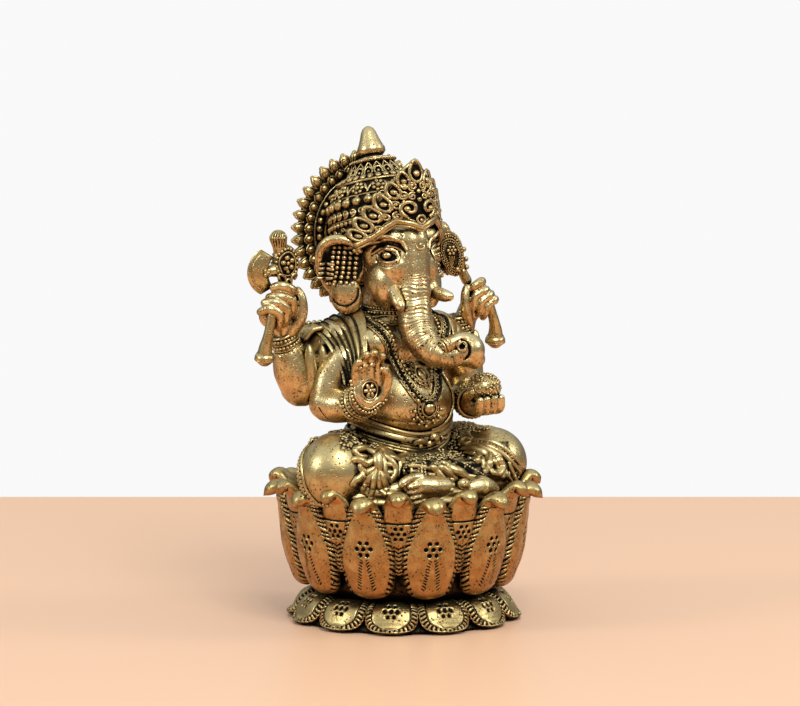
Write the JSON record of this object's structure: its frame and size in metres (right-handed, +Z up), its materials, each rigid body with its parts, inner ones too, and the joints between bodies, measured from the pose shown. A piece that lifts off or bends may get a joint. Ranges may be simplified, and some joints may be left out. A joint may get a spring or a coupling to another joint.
{
  "type": "hindu deity statue",
  "caption": "Cast brass figurine of a seated elephant-headed deity with four arms on a double lotus base, for a shelf, desk or shrine.",
  "frame": {"origin": "middle of the flat underside of the lotus foot", "axes": "+Z up; the figure faces -Y; its left hand is on the +X side"},
  "size_m": [0.0602, 0.0559, 0.0996],
  "materials": {
    "lotus_brass": "antiqued, worn bright on the high spots",
    "skin_brass": "polished, fine cast grain",
    "cloth_brass": "antiqued, chased folds",
    "ornament_brass": "dark antique patina in the recesses"
  },
  "bodies": {
    "root": {"lotus_foot": "lotus_brass", "lotus_cup": "lotus_brass", "lotus_petal_01": "lotus_brass", "lotus_petal_02": "lotus_brass", "lotus_petal_03": "lotus_brass", "lotus_petal_04": "lotus_brass", "lotus_petal_05": "lotus_brass", "lotus_petal_06": "lotus_brass", "lotus_petal_07": "lotus_brass", "lotus_petal_08": "lotus_brass", "lotus_petal_09": "lotus_brass", "lotus_petal_10": "lotus_brass", "lotus_petal_11": "lotus_brass", "inner_petal_ring": "lotus_brass", "torso": "skin_brass", "right_thigh": "cloth_brass", "left_thigh": "cloth_brass", "right_shin": "cloth_brass", "left_shin": "cloth_brass", "right_foot": "skin_brass", "left_foot": "skin_brass", "waist_sash": "cloth_brass", "sash_knot": "ornament_brass", "right_rear_bangles": "ornament_brass", "right_rear_forearm": "skin_brass", "right_rear_upper_arm": "skin_brass", "right_front_bangles": "ornament_brass", "right_front_forearm": "skin_brass", "right_front_upper_arm": "skin_brass", "right_rear_hand": "skin_brass", "left_rear_bangles": "ornament_brass", "left_rear_forearm": "skin_brass", "left_rear_upper_arm": "skin_brass", "left_front_bangles": "ornament_brass", "left_front_forearm": "skin_brass", "left_front_upper_arm": "skin_brass", "left_rear_hand": "skin_brass", "right_front_hand": "skin_brass", "sweet_ball": "ornament_brass", "left_front_hand": "skin_brass", "head": "skin_brass", "trunk": "skin_brass", "trunk_tip": "skin_brass", "crown_crest": "ornament_brass", "crown": "ornament_brass", "crown_finial": "ornament_brass", "right_tusk": "skin_brass", "right_ear": "skin_brass", "left_tusk": "skin_brass", "left_ear": "skin_brass", "halo": "ornament_brass", "axe": "ornament_brass", "noose_staff": "ornament_brass", "axe_handle_end": "ornament_brass", "noose_handle_end": "ornament_brass", "garland": "ornament_brass", "shoulder_shawl": "cloth_brass"}
  },
  "joints": []
}
